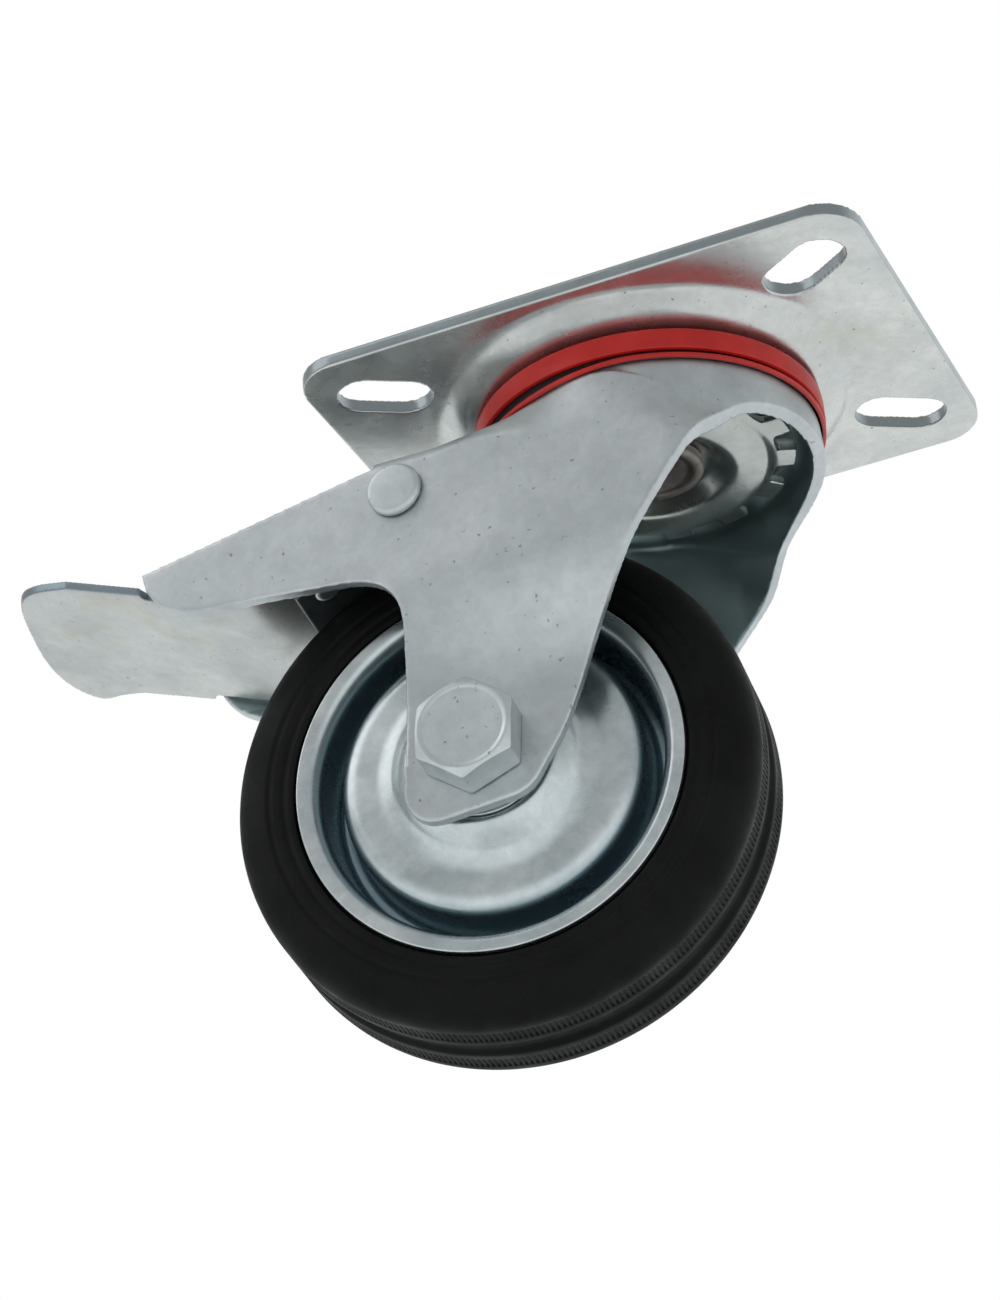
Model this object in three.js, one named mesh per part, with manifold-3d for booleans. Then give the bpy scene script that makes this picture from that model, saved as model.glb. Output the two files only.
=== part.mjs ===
// Swivel castor with a slotted top plate and a pedal that locks the wheel and the swivel.
// Millimetres. The origin is on the swivel axis, level with the top plate's mounting face. +Z is up,
// the plate's long side lies along X, and the wheel trails towards -X.
// Everything that swivels is drawn square to the axes in the group that is then turned to its place at rest.
import * as THREE from "three";
import { ParametricGeometry } from "three/addons/geometries/ParametricGeometry.js";
import { mergeVertices } from "three/addons/utils/BufferGeometryUtils.js";
import Module from "manifold-3d";

const wasm = await Module();
wasm.setup();
const { clamp, lerp, smoothstep } = THREE.MathUtils;

const GAP = 0.3; // air left between pieces that rest on each other
const REST_TURN = THREE.MathUtils.degToRad(7.5); // how far the fork is turned from the plate's long side

// Top plate
const PLATE = { length: 113, width: 87, thickness: 2.75, corner: 9 };
const SLOT = { x: 42.9, y: 28.4, length: 18.3, width: 10.5, turn: THREE.MathUtils.degToRad(33) };
const BOSS = { rim: 41.6, foot: 32.5, drop: 3.9 };

// Swivel head
const PIN = { head: 12, radius: 7, end: 9.7, bottom: -19 };
const UPPER_BALL = { radius: 3.175, circle: 24, z: -8.5, count: 8 };
const LOWER_BALL = { radius: 2.35, circle: 18.5, z: -15.5, count: 8 };
const RACE = { bore: 7.3, sheet: 1.8, top: -14.6, floor: -18, flange: -15.4, step: 22.3 };
const TEETH = { count: 14, root: 24.2, tip: 27.7, width: 5.5, phase: THREE.MathUtils.degToRad(23) };

// Fork
const SHEET = 2.6;
const CROWN = { top: -10.4, bend: 4, radius: 32.7, skirt: 33.2, bore: 9.5 };
const CHEEK = { front: 34.3, frontX: 9, taper: 0.106, foot: 24.4 };
const ROOF = { z: -19.5, bend: 3.5, end: -48.5 };
const SEAL = { outer: 34, top: -7.7, bottom: -14 };

// Wheel and axle
const AXLE = { x: -34.4, z: -82.1, radius: 5.9, flats: 18, head: 7.5 };
const SLEEVE = { outer: 7.3, inner: 6.2, half: 21.5 };
const HUB = { outer: 12.4, inner: 11, half: 20.2 };
const ROLLER = { radius: 1.6, circle: 9.15, length: 30, count: 8 };
const RIM = { sheet: 1.5, flange: 37.1, face: 15.2 };
const TYRE = { radius: 50, seat: 34, half: 14.9 };

// Brake
const BRAKE_PIN = { x: -44.2, z: -28.2, radius: 2.5, head: 5.4 };
const STROKE = THREE.MathUtils.degToRad(8.5);
const PEDAL = { sheet: 2, neck: 20, half: 22, slope: -0.34, level: -67, tip: -130 };

// ---------------------------------------------------------------- solids and booleans

// A closed three.js geometry as a manifold-3d solid.
function solid(geometry) {
  const bare = geometry.index ? geometry.toNonIndexed() : geometry.clone();
  bare.deleteAttribute("normal");
  bare.deleteAttribute("uv");
  const merged = mergeVertices(bare, 1e-4);
  return new wasm.Manifold(
    new wasm.Mesh({
      numProp: 3,
      vertProperties: merged.attributes.position.array,
      triVerts: new Uint32Array(merged.index.array),
    }),
  );
}

// A manifold-3d solid as a three.js geometry with creased normals left to the material's flat shading.
function geometryOf(made) {
  const mesh = made.getMesh();
  const geometry = new THREE.BufferGeometry();
  geometry.setAttribute("position", new THREE.BufferAttribute(new Float32Array(mesh.vertProperties), 3));
  geometry.setIndex(new THREE.BufferAttribute(new Uint32Array(mesh.triVerts), 1));
  geometry.computeVertexNormals();
  return geometry;
}

// A closed profile of [radius, height] points turned about Z.
function turned(profile, segments = 64) {
  const points = profile.map(([r, z]) => new THREE.Vector2(r, z));
  if (THREE.ShapeUtils.area(points) < 0) points.reverse();
  const geometry = new THREE.LatheGeometry([...points, points[0]], segments);
  return geometry.rotateX(Math.PI / 2);
}

// The same, about the wheel's axle line: heights run along Y.
function turnedOnAxle(profile, segments = 64) {
  return turned(profile, segments).rotateX(-Math.PI / 2).translate(AXLE.x, 0, AXLE.z);
}

// A shape drawn in X and Y, thickened from one height to another.
function thickened(shape, from, to, curveSegments = 12) {
  const settings = { depth: to - from, bevelEnabled: false, curveSegments };
  return new THREE.ExtrudeGeometry(shape, settings).translate(0, 0, from);
}

// A shape drawn in X and Z, thickened along Y from one side to the other.
function sideways(shape, from, to, curveSegments = 12) {
  return thickened(shape, -to, -from, curveSegments).rotateX(Math.PI / 2);
}

// A round bar along Y at a place in X and Z.
function barAlongY(radius, from, to, x, z, segments = 32) {
  const bar = new THREE.CylinderGeometry(radius, radius, to - from, segments);
  return bar.translate(x, (from + to) / 2, z);
}

// A strip of sheet along a centreline of Vector2 points, as a shape in X and Z.
function stripShape(points, thickness) {
  const sides = [1, -1].map((side) =>
    points.map((point, i) => {
      const before = points[Math.max(i - 1, 0)];
      const after = points[Math.min(i + 1, points.length - 1)];
      const along = after.clone().sub(before).normalize();
      const across = new THREE.Vector2(-along.y, along.x).multiplyScalar((side * thickness) / 2);
      return point.clone().add(across);
    }),
  );
  return new THREE.Shape([...sides[0], ...sides[1].reverse()]);
}

function material(color, metalness, roughness) {
  return new THREE.MeshStandardMaterial({ color, metalness, roughness, flatShading: true });
}

const zinc = material(0xb4babc, 0.85, 0.42);
const brightSteel = material(0xd2d4d6, 0.95, 0.22);
const forgedSteel = material(0x4a3f38, 0.7, 0.65);
const redPlastic = material(0xb81f1d, 0, 0.4);
const rubber = material(0x1c1c1c, 0, 0.85);
const darkSteel = material(0x3a4044, 0.8, 0.5);

function piece(parent, name, geometry, finish) {
  const mesh = new THREE.Mesh(geometry, finish);
  mesh.name = name;
  parent.add(mesh);
  return mesh;
}

const castor = new THREE.Group();
const swivel = new THREE.Group();
swivel.rotation.z = REST_TURN;
castor.add(swivel);

// ---------------------------------------------------------------- top plate and kingpin

function roundedRectangle(length, width, corner) {
  const [a, b] = [length / 2, width / 2];
  const shape = new THREE.Shape();
  shape.moveTo(-a + corner, -b);
  shape.absarc(a - corner, -b + corner, corner, -Math.PI / 2, 0);
  shape.absarc(a - corner, b - corner, corner, 0, Math.PI / 2);
  shape.absarc(-a + corner, b - corner, corner, Math.PI / 2, Math.PI);
  shape.absarc(-a + corner, -b + corner, corner, Math.PI, 1.5 * Math.PI);
  return shape;
}

// A slot's outline, its long axis turned towards the plate's middle.
function slotPath(x, y, turn) {
  const reach = (SLOT.length - SLOT.width) / 2;
  const along = new THREE.Vector2(Math.cos(turn), Math.sin(turn)).multiplyScalar(reach);
  const path = new THREE.Path();
  path.absarc(x + along.x, y + along.y, SLOT.width / 2, turn - Math.PI / 2, turn + Math.PI / 2);
  path.absarc(x - along.x, y - along.y, SLOT.width / 2, turn + Math.PI / 2, turn + 1.5 * Math.PI);
  return path;
}

// The pressing from the flat down to the boss: how far in from the rim, and how far down, both from 0 to 1.
const BOSS_CURVE = [[0, 0], [0.13, 0.15], [0.37, 0.63], [0.55, 0.87], [0.77, 0.98], [1, 1]];

function topPlate() {
  const outline = roundedRectangle(PLATE.length, PLATE.width, PLATE.corner);
  for (const sx of [1, -1])
    for (const sy of [1, -1]) outline.holes.push(slotPath(sx * SLOT.x, sy * SLOT.y, sx * sy * SLOT.turn));
  const wellHole = new THREE.Path();
  wellHole.absarc(0, 0, BOSS.rim - 0.4, 0, 2 * Math.PI);
  outline.holes.push(wellHole);
  const flat = solid(thickened(outline, -PLATE.thickness, 0, 10));
  const inner = PIN.radius + GAP;
  const pressing = BOSS_CURVE.map(([inwards, down]) => [
    lerp(BOSS.rim, BOSS.foot, inwards),
    -down * BOSS.drop,
  ]);
  const upper = [[inner, -BOSS.drop], ...pressing.reverse()];
  const under = upper.map(([r, z]) => [r, z - PLATE.thickness]).reverse();
  const boss = turned([...upper, ...under], 56);
  return flat.add(solid(boss)).subtract(ballTrack());
}

// The ring that the upper balls run in, cut into both the plate and the fork's crown.
function ballTrack() {
  const ring = new THREE.TorusGeometry(UPPER_BALL.circle, UPPER_BALL.radius + 0.2, 10, 40);
  return solid(ring.translate(0, 0, UPPER_BALL.z));
}

const kingpinProfile = [
  [0, 0],
  [PIN.head - 0.6, 0],
  [PIN.head, -0.6],
  [PIN.head, -BOSS.drop + GAP],
  [PIN.radius, -BOSS.drop + GAP],
  [PIN.radius, -RACE.sheet + RACE.top - GAP],
  [PIN.end - 0.3, -RACE.sheet + RACE.top - GAP],
  [PIN.end, PIN.bottom + 0.9],
  [PIN.end - 0.9, PIN.bottom],
  [0, PIN.bottom],
];

piece(castor, "top_plate", geometryOf(topPlate()), zinc);
piece(castor, "kingpin", turned(kingpinProfile, 30), forgedSteel);

// ---------------------------------------------------------------- lower race with its lock teeth

function lockRace() {
  const { bore, sheet, top, floor, flange, step } = RACE;
  const dish = turned(
    [
      [bore, top],
      [11.5, top],
      [15.6, floor],
      [step - 0.9, floor],
      [step, flange],
      [TEETH.tip, flange],
      [TEETH.tip, flange - sheet],
      [step + 0.6, flange - sheet],
      [step, floor - sheet + 0.8],
      [step - 0.9, floor - sheet],
      [15, floor - sheet],
      [10.9, top - sheet],
      [bore, top - sheet],
    ],
    56,
  );
  let race = solid(dish);
  const pitch = (2 * Math.PI) / TEETH.count;
  const half = TEETH.width / 2;
  for (let i = 0; i < TEETH.count; i++) {
    const before = half / TEETH.tip;
    const gap = new THREE.Shape();
    const angles = [before, pitch - before];
    const at = (radius, angle) => [radius * Math.cos(angle), radius * Math.sin(angle)];
    gap.moveTo(...at(TEETH.root, angles[0] + 0.02));
    gap.lineTo(...at(TEETH.tip + 2, angles[0]));
    gap.lineTo(...at(TEETH.tip + 2, angles[1]));
    gap.lineTo(...at(TEETH.root, angles[1] - 0.02));
    gap.lineTo(...at(TEETH.root - 0.35, pitch / 2));
    const cutter = thickened(gap, flange - sheet - 1, flange + 1).rotateZ(TEETH.phase + i * pitch);
    race = race.subtract(solid(cutter));
  }
  return race;
}

piece(castor, "lock_race", geometryOf(lockRace()), zinc);

// ---------------------------------------------------------------- ball rings

function ballRing(parent, label, ball, depth) {
  const reach = ball.radius + 0.9;
  let cage = solid(
    turned([
      [ball.circle - reach, ball.z - depth / 2],
      [ball.circle + reach, ball.z - depth / 2],
      [ball.circle + reach, ball.z + depth / 2],
      [ball.circle - reach, ball.z + depth / 2],
    ], 32),
  );
  for (let i = 0; i < ball.count; i++) {
    const angle = (2 * Math.PI * i) / ball.count;
    const [x, y] = [ball.circle * Math.cos(angle), ball.circle * Math.sin(angle)];
    const pocket = new THREE.CylinderGeometry(ball.radius + 0.2, ball.radius + 0.2, 3 * depth, 10);
    cage = cage.subtract(solid(pocket.rotateX(Math.PI / 2).translate(x, y, ball.z)));
    const sphere = new THREE.SphereGeometry(ball.radius, 10, 7).translate(x, y, ball.z);
    piece(parent, label + "_ball_" + (i + 1), sphere, brightSteel);
  }
  piece(parent, label + "_ball_cage", geometryOf(cage), darkSteel);
}

ballRing(swivel, "upper", UPPER_BALL, 0.8);
ballRing(swivel, "lower", LOWER_BALL, 0.7);

// ---------------------------------------------------------------- fork

// Distance from the middle plane to the cheek's outer face, away from the crown.
function cheekHalf(x, z) {
  const upper = CHEEK.front - CHEEK.taper * Math.max(CHEEK.frontX - x, 0);
  const inTheLeg = smoothstep(x, -62, -46) * smoothstep(-z, 46, 74);
  return lerp(upper, CHEEK.foot, inTheLeg);
}

// The crown's radius at a height: a rounded shoulder, then a slightly flared skirt.
function crownRadius(z) {
  const start = CROWN.top - CROWN.bend;
  if (z > start) {
    const up = clamp((z - start) / CROWN.bend, 0, 1);
    return CROWN.radius - CROWN.bend + CROWN.bend * Math.sqrt(1 - up * up);
  }
  return lerp(CROWN.radius, CROWN.skirt, clamp((start - z) / 8, 0, 1));
}

// Where the round crown starts to turn into the flat cheeks, and over what height it does so.
function blendStart(x) {
  return lerp(ROOF.z, -14.6, smoothstep(x, -38, -10)) - 9.4 * smoothstep(x, -4, 22);
}
function blendHeight(x) {
  return lerp(ROOF.bend, 12, smoothstep(x, -33, -4));
}

// Half the fork's width at a place, measured to the outer face or, with an inset, to the inner one.
function forkHalf(x, z, inset) {
  const round = Math.sqrt(Math.max(0, (CROWN.skirt - inset) ** 2 - x * x));
  const face = cheekHalf(x, z) - inset;
  const t = clamp((blendStart(x) - (z + inset)) / blendHeight(x), 0, 1);
  const bent = Math.sqrt(1 - (1 - t) ** 2);
  const crowned = smoothstep(x, -33, -4);
  const top = lerp(face - ROOF.bend, round, crowned);
  return lerp(top, face, lerp(bent, smoothstep(t, 0, 1), crowned));
}

// The block between the cheeks' faces, as cross-sections along X. Each runs up one side and down the other.
function forkBlock(inset) {
  const levels = [0, 0.06, 0.22, 0.48, 0.76, 1];
  const legLevels = [-46, -53, -60, -67, -74, -101];
  const front = CROWN.skirt - inset;
  const stations = [];
  for (let x = -101; x < -52; x += 12) stations.push(x);
  for (let x = -49; x < -30; x += 4) stations.push(x);
  for (let i = 0; i <= 12; i++) stations.push(-front * 0.86 * Math.cos((i * Math.PI) / 12 / 1.14));
  stations.push(front * 0.9, front * 0.96, front * 0.995);
  stations.sort((a, b) => a - b);
  const section = (x) => {
    const start = blendStart(x) - inset;
    const height = blendHeight(x);
    const heights = [...levels.map((k) => start - k * height), ...legLevels];
    const side = heights.map((z) => [forkHalf(x, z, inset), z]);
    return [...side.map(([y, z]) => [-y, z]).reverse(), ...side];
  };
  const around = 2 * (levels.length + legLevels.length);
  const rows = stations.length + 2;
  const place = (u, v, target) => {
    const row = Math.round(v * (rows - 1));
    const column = (around - Math.round(u * around)) % around;
    const x = stations[clamp(row - 1, 0, stations.length - 1)];
    const [y, z] = section(x)[column];
    if (row === 0 || row === rows - 1) target.set(x, 0, -60);
    else target.set(x, y, z);
  };
  return solid(new ParametricGeometry(place, around, rows - 1));
}

function crownSolid(inset) {
  const heights = [0, 0.08, 0.3, 0.62, 1].map((k) => CROWN.top - k * CROWN.bend);
  const wall = [...heights, -22.4, -24.5].map((z) => [crownRadius(z) - inset, z - inset]);
  return solid(turned([[0, CROWN.top - inset], ...wall, [0, -24.5 - inset]], 48));
}

// The fork's outline from the side: crown, front edge of the leg, foot, rear edge and arm.
function forkOutline() {
  const shape = new THREE.Shape();
  shape.moveTo(34, -9);
  shape.lineTo(34, -20.1);
  shape.splineThru([
    new THREE.Vector2(26.5, -21.5),
    new THREE.Vector2(20.6, -24.6),
    new THREE.Vector2(15, -31.2),
    new THREE.Vector2(6, -42.6),
    new THREE.Vector2(-2, -53.5),
    new THREE.Vector2(-10.4, -67.2),
    new THREE.Vector2(-16.8, -81.2),
    new THREE.Vector2(-22, -89.4),
  ]);
  shape.quadraticCurveTo(-24.2, -93.4, -28, -94.1);
  shape.lineTo(-41, -96.1);
  shape.bezierCurveTo(-45.4, -96.8, -48.2, -93.6, -48.1, -89.6);
  shape.lineTo(-45.2, -57);
  shape.bezierCurveTo(-44.6, -49, -48.5, -45.6, -56, -44.6);
  shape.lineTo(-71, -43.1);
  shape.lineTo(-84, -42.3);
  shape.bezierCurveTo(-90, -41.8, -94.4, -38.6, -96.3, -34.2);
  shape.lineTo(-97, -30.8);
  shape.lineTo(-48.6, -21.7);
  shape.lineTo(-47, -9);
  return shape;
}

function fork() {
  let made = forkBlock(0).add(crownSolid(0)).subtract(forkBlock(SHEET).add(crownSolid(SHEET)));
  made = made.intersect(solid(sideways(forkOutline(), -40, 40, 4)));
  const openTop = new THREE.Shape([
    new THREE.Vector2(-110, -19.8),
    new THREE.Vector2(ROOF.end, -25.2),
    new THREE.Vector2(ROOF.end, 25.2),
    new THREE.Vector2(-110, 19.8),
  ]);
  made = made.subtract(solid(thickened(openTop, -40, -5)));
  const notch = new THREE.BoxGeometry(30, 17, 12.2).translate(-44.5, 0, -24);
  made = made.subtract(solid(notch));
  const bore = new THREE.CylinderGeometry(CROWN.bore, CROWN.bore, 20, 40).rotateX(Math.PI / 2);
  made = made.subtract(solid(bore.translate(0, 0, CROWN.top)));
  made = made.subtract(ballTrack());
  made = made.subtract(solid(barAlongY(AXLE.radius + GAP, -40, 40, AXLE.x, AXLE.z)));
  return made.subtract(solid(barAlongY(BRAKE_PIN.radius + GAP, -40, 40, BRAKE_PIN.x, BRAKE_PIN.z)));
}

piece(swivel, "fork", geometryOf(fork()), zinc);

// ---------------------------------------------------------------- dust seal

const sealProfile = [
  [29, SEAL.top],
  [SEAL.outer, SEAL.top],
  [SEAL.outer, -12.4],
  [33.4, -12.7],
  [33.8, -13.1],
  [33.8, SEAL.bottom],
  [33.05, SEAL.bottom],
  [32.8, -12.2],
  [31.4, -10.5],
  [29, -10.05],
];
piece(swivel, "dust_seal", turned(sealProfile, 48), redPlastic);

// ---------------------------------------------------------------- axle

// A hexagon head or nut along Y, chamfered on its outer side.
function hexagon(from, to, bore) {
  const corner = AXLE.flats / Math.sqrt(3);
  const body = new THREE.CylinderGeometry(corner, corner, Math.abs(to - from), 6);
  body.rotateY(THREE.MathUtils.degToRad(5.5)).translate(AXLE.x, (from + to) / 2, AXLE.z);
  const outward = Math.sign(to - from);
  const face = 0.475 * AXLE.flats;
  const slope = Math.tan(Math.PI / 6);
  const dressed = turnedOnAxle([
    [0, from],
    [corner + 1, from],
    [corner + 1, to - outward * slope * (corner + 1 - face)],
    [face, to],
    [0, to],
  ], 48);
  let made = solid(body).intersect(solid(dressed));
  if (bore) made = made.subtract(solid(barAlongY(bore, -40, 40, AXLE.x, AXLE.z)));
  return made;
}

const legFace = CHEEK.foot + GAP;
const boltEnd = legFace + 12.5;
const shank = barAlongY(AXLE.radius, -legFace - 1, boltEnd, AXLE.x, AXLE.z, 40);
piece(swivel, "axle_bolt", geometryOf(hexagon(-legFace, -legFace - AXLE.head, 0).add(solid(shank))), zinc);
piece(swivel, "axle_nut", geometryOf(hexagon(legFace, legFace + 10, AXLE.radius + GAP)), zinc);

// A plain tube about the axle line.
function axleTube(inner, outer, from, to, segments = 28) {
  return turnedOnAxle([[inner, from], [outer, from], [outer, to], [inner, to]], segments);
}

piece(swivel, "axle_sleeve", axleTube(SLEEVE.inner, SLEEVE.outer, -SLEEVE.half, SLEEVE.half), zinc);
piece(swivel, "axle_washer_near", axleTube(SLEEVE.outer + GAP, 12, -21.4, -20.6), zinc);
piece(swivel, "axle_washer_far", axleTube(SLEEVE.outer + GAP, 12, 20.6, 21.4), zinc);

// ---------------------------------------------------------------- wheel

// One rim half's sheet, from the hub out to the flange, on the side that `side` names (-1 near, 1 far).
function rimHalf(side) {
  const outside = [
    [HUB.outer + GAP, 20],
    [14.2, 20],
    [16.4, 18],
    [18, 15.8],
    [20.8, 14.8],
    [27, 14.4],
    [28.9, 12.4],
    [29.5, 2.4],
    [32, 2.4],
    [32.8, 13.2],
    [34.4, RIM.face],
    [RIM.flange, RIM.face],
  ];
  const inside = [
    [RIM.flange, RIM.face - RIM.sheet],
    [34.6, RIM.face - RIM.sheet],
    [33.4, 2],
    [32.4, 0.5],
    [28.6, 0.5],
    [27.3, 12.4],
    [20.4, 13.3],
    [16.8, 14.6],
    [13.6, 18.5],
    [HUB.outer + GAP, 18.5],
  ];
  return turnedOnAxle([...outside, ...inside].map(([r, y]) => [r, side * y]), 36);
}

// The tyre's section: bead between the rim flanges, flat sides, and a crown with a groove round its middle.
function tyreProfile() {
  const half = [
    [TYRE.seat, 0],
    [TYRE.seat, 5],
    [34.6, 13],
    [35.2, 13.4],
    [37.5, 13.4],
    [37.7, TYRE.half],
    [42.1, TYRE.half],
    [45, 14.3],
    [47.4, 13.2],
    [49, 11.6],
    [TYRE.radius, 8.4],
    [TYRE.radius, 2.2],
    [49.2, 1.6],
    [49.2, 0],
  ];
  const other = half.slice(1, -1).map(([r, y]) => [r, -y]);
  return [...half.reverse(), ...other];
}

const hubTube = axleTube(HUB.inner, HUB.outer, -HUB.half, HUB.half);
piece(swivel, "tyre", turnedOnAxle(tyreProfile(), 46), rubber);
piece(swivel, "rim_near", rimHalf(-1), brightSteel);
piece(swivel, "rim_far", rimHalf(1), brightSteel);
piece(swivel, "hub_tube", hubTube, zinc);

// ---------------------------------------------------------------- roller bearing

function rollerBearing() {
  const wall = 0.55;
  const half = ROLLER.length / 2 + 2;
  let cage = solid(axleTube(ROLLER.circle - wall, ROLLER.circle + wall, -half, half));
  for (let i = 0; i < ROLLER.count; i++) {
    const angle = (2 * Math.PI * i) / ROLLER.count;
    const x = AXLE.x + ROLLER.circle * Math.cos(angle);
    const z = AXLE.z + ROLLER.circle * Math.sin(angle);
    const reach = ROLLER.length / 2;
    const pocket = barAlongY(ROLLER.radius + 0.2, -reach - 0.4, reach + 0.4, x, z, 8);
    cage = cage.subtract(solid(pocket));
    piece(swivel, "roller_" + (i + 1), barAlongY(ROLLER.radius, -reach, reach, x, z, 12), brightSteel);
  }
  piece(swivel, "roller_cage", geometryOf(cage), darkSteel);
}
rollerBearing();

// ---------------------------------------------------------------- brake

const brakePivot = new THREE.Vector2(BRAKE_PIN.x, BRAKE_PIN.z);
// The wheel's centre as the released lever sees it: the shoe is round this point, so that it is round the
// wheel when the lever is pressed.
const shoeCentre = new THREE.Vector2(AXLE.x, AXLE.z).rotateAround(brakePivot, -STROKE);

function onShoeArc(radius, degrees) {
  const angle = THREE.MathUtils.degToRad(90 + degrees);
  return new THREE.Vector2(radius, 0).rotateAround(new THREE.Vector2(), angle).add(shoeCentre);
}

function shoeArc(radius, fromDegrees, toDegrees, steps = 10) {
  const pointAt = (_, i) => onShoeArc(radius, lerp(fromDegrees, toDegrees, i / steps));
  return Array.from({ length: steps + 1 }, pointAt);
}

// The pedal seen from above: narrow between the arms, then a pad that swells to one side.
function pedalPlan() {
  const { neck, half, tip } = PEDAL;
  const shape = new THREE.Shape();
  shape.moveTo(-40, -neck);
  shape.lineTo(-96.8, -neck);
  shape.lineTo(-98, -half);
  shape.lineTo(-113, -half);
  shape.splineThru([
    new THREE.Vector2(-121, -18.4),
    new THREE.Vector2(-125.6, -12.4),
    new THREE.Vector2(tip + 1.6, 0),
    new THREE.Vector2(tip, 14),
    new THREE.Vector2(-128.3, 23),
    new THREE.Vector2(-123.6, 27.2),
    new THREE.Vector2(-118, 24.4),
    new THREE.Vector2(-112.5, half + 0.2),
  ]);
  shape.lineTo(-98, half);
  shape.lineTo(-96.8, neck);
  shape.lineTo(-40, neck);
  return shape;
}

// The ears lean in like the arms beside them; this is their distance from the middle at the pin.
const EAR_MIDDLE = cheekHalf(BRAKE_PIN.x, BRAKE_PIN.z) - SHEET - PEDAL.sheet / 2 - 0.5;

function pedal() {
  const padAt = (x) => new THREE.Vector2(x, PEDAL.level + PEDAL.slope * x);
  const bend = new THREE.QuadraticBezierCurve(padAt(-82.5), padAt(-76.6), onShoeArc(53.6, 30.5));
  const line = [padAt(-133), padAt(-108), ...bend.getPoints(8), ...shoeArc(53.6, 29, 10)];
  const sheet = solid(sideways(stripShape(line, PEDAL.sheet), -30, 30));
  let made = sheet.intersect(solid(thickened(pedalPlan(), -60, 0, 6)));
  const ear = new THREE.Shape();
  ear.moveTo(-89, -36.2);
  ear.lineTo(-84, -32.2);
  ear.lineTo(-50, -24.8);
  const [earStart, earEnd] = [110, -60].map(THREE.MathUtils.degToRad);
  ear.absarc(brakePivot.x, brakePivot.y, 4.2, earStart, earEnd, true);
  ear.lineTo(-52, -31.4);
  ear.lineTo(-70.5, -37.4);
  ear.lineTo(-77, -41);
  for (const side of [-1, 1]) {
    const flank = sideways(ear, -PEDAL.sheet / 2, PEDAL.sheet / 2).translate(-brakePivot.x, 0, 0);
    flank.rotateZ(side * Math.atan(CHEEK.taper));
    made = made.add(solid(flank.translate(brakePivot.x, side * EAR_MIDDLE, 0)));
  }
  return made.subtract(solid(barAlongY(BRAKE_PIN.radius + 0.4, -30, 30, brakePivot.x, brakePivot.y)));
}

// A rivet through sheets that lie across the shoe's arc.
function shoeRivet(y, degrees, from, to) {
  const profile = [[0, from - 1], [2, from - 1], [2.8, from - GAP], [1.6, from - GAP], [1.6, to + GAP]];
  const rivet = turned([...profile, [2.8, to + GAP], [2, to + 1], [0, to + 1]], 20);
  const place = onShoeArc(0, 0);
  return rivet
    .rotateY(THREE.MathUtils.degToRad(-degrees))
    .translate(place.x, y, place.y);
}

const RIVET_LINE = { degrees: 24, y: 13.8 };
function rivetHole(y, radius) {
  const bar = new THREE.CylinderGeometry(radius, radius, 20, 20).rotateX(Math.PI / 2).translate(0, 0, 53);
  return solid(
    bar.rotateY(THREE.MathUtils.degToRad(-RIVET_LINE.degrees)).translate(shoeCentre.x, y, shoeCentre.y),
  );
}

function drilled(made) {
  return [-1, 1].reduce((rest, side) => rest.subtract(rivetHole(side * RIVET_LINE.y, 1.6 + GAP)), made);
}

const shoeSheet = solid(sideways(stripShape(shoeArc(51.35, 31, 13, 9), 1.9), -17, 17));
const leafLine = [
  ...shoeArc(55.5, 22, 13, 3),
  new THREE.Vector2(-49.5, -25.4),
  new THREE.Vector2(-46.5, -24.1),
  new THREE.Vector2(-40, -23.2),
  new THREE.Vector2(-30.5, -22.2),
  new THREE.Vector2(-27.4, -21.9),
];
const leafStrip = solid(sideways(stripShape(leafLine, 1.2), -6, 6));
const lockTooth = solid(new THREE.BoxGeometry(1.3, 4.6, 2.4).translate(-27, 0, -21.3));
const leafFoot = solid(sideways(stripShape(shoeArc(55.5, 27, 20, 3), 1.2), -17, 17));

piece(swivel, "brake_pedal", geometryOf(drilled(pedal())), zinc);
piece(swivel, "brake_shoe", geometryOf(drilled(shoeSheet)), darkSteel);
piece(swivel, "lock_leaf", geometryOf(drilled(leafStrip.add(leafFoot).add(lockTooth))), darkSteel);
piece(swivel, "shoe_rivet_near", shoeRivet(-RIVET_LINE.y, RIVET_LINE.degrees, 50.4, 56.1), zinc);
piece(swivel, "shoe_rivet_far", shoeRivet(RIVET_LINE.y, RIVET_LINE.degrees, 50.4, 56.1), zinc);

// The pin through both arms, with a flat head on each.
function brakePin() {
  const armHalf = cheekHalf(BRAKE_PIN.x, BRAKE_PIN.z) + GAP;
  const lean = Math.atan(CHEEK.taper);
  const end = armHalf + 0.6;
  let made = solid(barAlongY(BRAKE_PIN.radius, -end, end, brakePivot.x, brakePivot.y, 28));
  for (const side of [-1, 1]) {
    const head = new THREE.CylinderGeometry(BRAKE_PIN.head - 0.4, BRAKE_PIN.head, 1.4, 36);
    if (side < 0) head.rotateX(Math.PI);
    head.rotateZ(side * lean);
    made = made.add(solid(head.translate(brakePivot.x, side * (armHalf + 0.9), brakePivot.y)));
  }
  return made;
}
piece(swivel, "brake_pin", geometryOf(brakePin()), zinc);

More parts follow.
